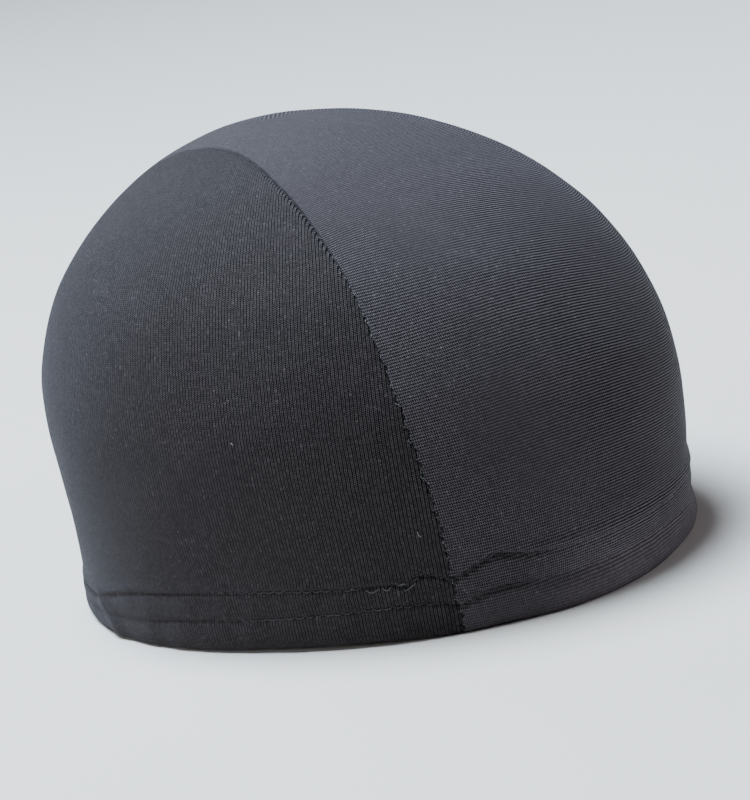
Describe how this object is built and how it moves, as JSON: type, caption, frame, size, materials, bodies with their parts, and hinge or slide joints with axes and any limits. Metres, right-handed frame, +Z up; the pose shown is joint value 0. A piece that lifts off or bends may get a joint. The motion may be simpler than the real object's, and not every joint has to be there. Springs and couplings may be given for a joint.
{
  "type": "cycling skull cap",
  "caption": "Close-fitting stretch-knit skull cap: a centre panel, wide at the forehead, sewn between side panels, with a turned-up stitched hem.",
  "frame": {"origin": "middle of the cap's box, in the plane of the rim that it stands on", "axes": "+Z up through the crown, -Y to the front of the head, +X to the wearer's left"},
  "size_m": [0.15, 0.1879, 0.132],
  "materials": {
    "knit": "matt black warp knit with elastane, fine ribs, faint bluish sheen",
    "thread": "soft black polyester sewing thread"
  },
  "bodies": {
    "root": {"centre_panel": "knit", "right_side_panel": "knit", "left_side_panel": "knit"}
  },
  "joints": []
}
